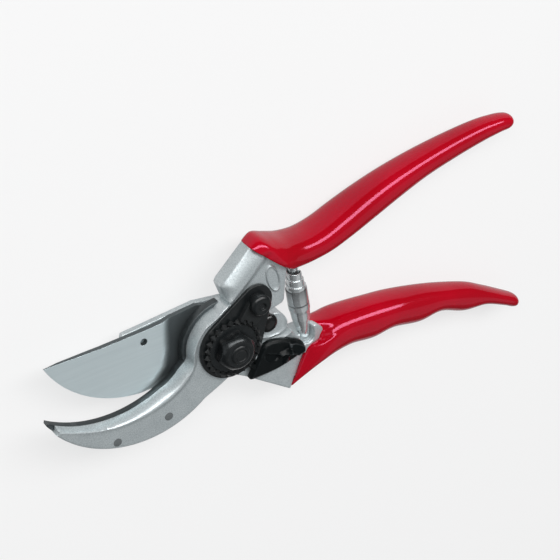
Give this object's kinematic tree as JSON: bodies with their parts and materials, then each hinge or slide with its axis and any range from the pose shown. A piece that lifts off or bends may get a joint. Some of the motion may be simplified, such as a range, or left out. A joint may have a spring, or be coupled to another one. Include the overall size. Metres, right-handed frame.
{
  "type": "pruning shears",
  "caption": "One-hand bypass pruning shears with a curved blade, a hooked counter-blade, coated handles, a volute spring and a thumb catch.",
  "frame": {"origin": "the pivot axis where it meets the flat face of the centre bolt's head, which the shears rest on", "axes": "+X from the pivot to the handles, along the line midway between them; +Y towards the hook handle, in the plane of the blades; +Z along the pivot axis, from the bolt head to the nut"},
  "size_m": [0.2131, 0.0918, 0.0273],
  "materials": {
    "forged_aluminium": "fine blasted forging, satin, with brighter ribs",
    "red_coating": "smooth glossy dipped coating",
    "blade_steel": "fine ground hardened steel",
    "rivet_steel": "ground flush",
    "black_steel": "blackened, satin",
    "black_catch": "blackened, satin",
    "black_rubber": "smooth moulded",
    "spring_chrome": "bright strip"
  },
  "bodies": {
    "hook_side": {"hook_handle": "forged_aluminium", "hook_grip": "red_coating", "counter_blade": "blade_steel", "counter_blade_rivets": "rivet_steel", "centre_bolt": "black_steel", "centre_nut": "black_steel", "lock_plate": "black_steel", "toothed_segment": "black_steel", "segment_screw": "black_steel", "thrust_washer": "rivet_steel", "volute_spring": "spring_chrome"},
    "blade_side": {"blade_handle": "forged_aluminium", "blade_grip": "red_coating", "cutting_blade": "blade_steel", "blade_pins": "rivet_steel", "cushion": "black_rubber", "catch_pin": "rivet_steel", "catch_back_ring": "rivet_steel", "catch_washer": "rivet_steel"},
    "catch": {"thumb_catch": "black_catch"}
  },
  "joints": [
    {"name": "pivot", "type": "hinge", "parent": "hook_side", "child": "blade_side", "pos_m": [0, 0, 0.01], "axis": [0, 0, 1], "range_deg": [0, 17.4], "stiffness_Nm_per_rad": 1.2, "springref_deg": -20.05, "deforming": ["volute_spring"]},
    {"name": "catch_turn", "type": "hinge", "parent": "blade_side", "child": "catch", "pos_m": [0.027, -0.017, 0.014], "axis": [0, 0, 1], "range_deg": [-7.5, 0]}
  ]
}
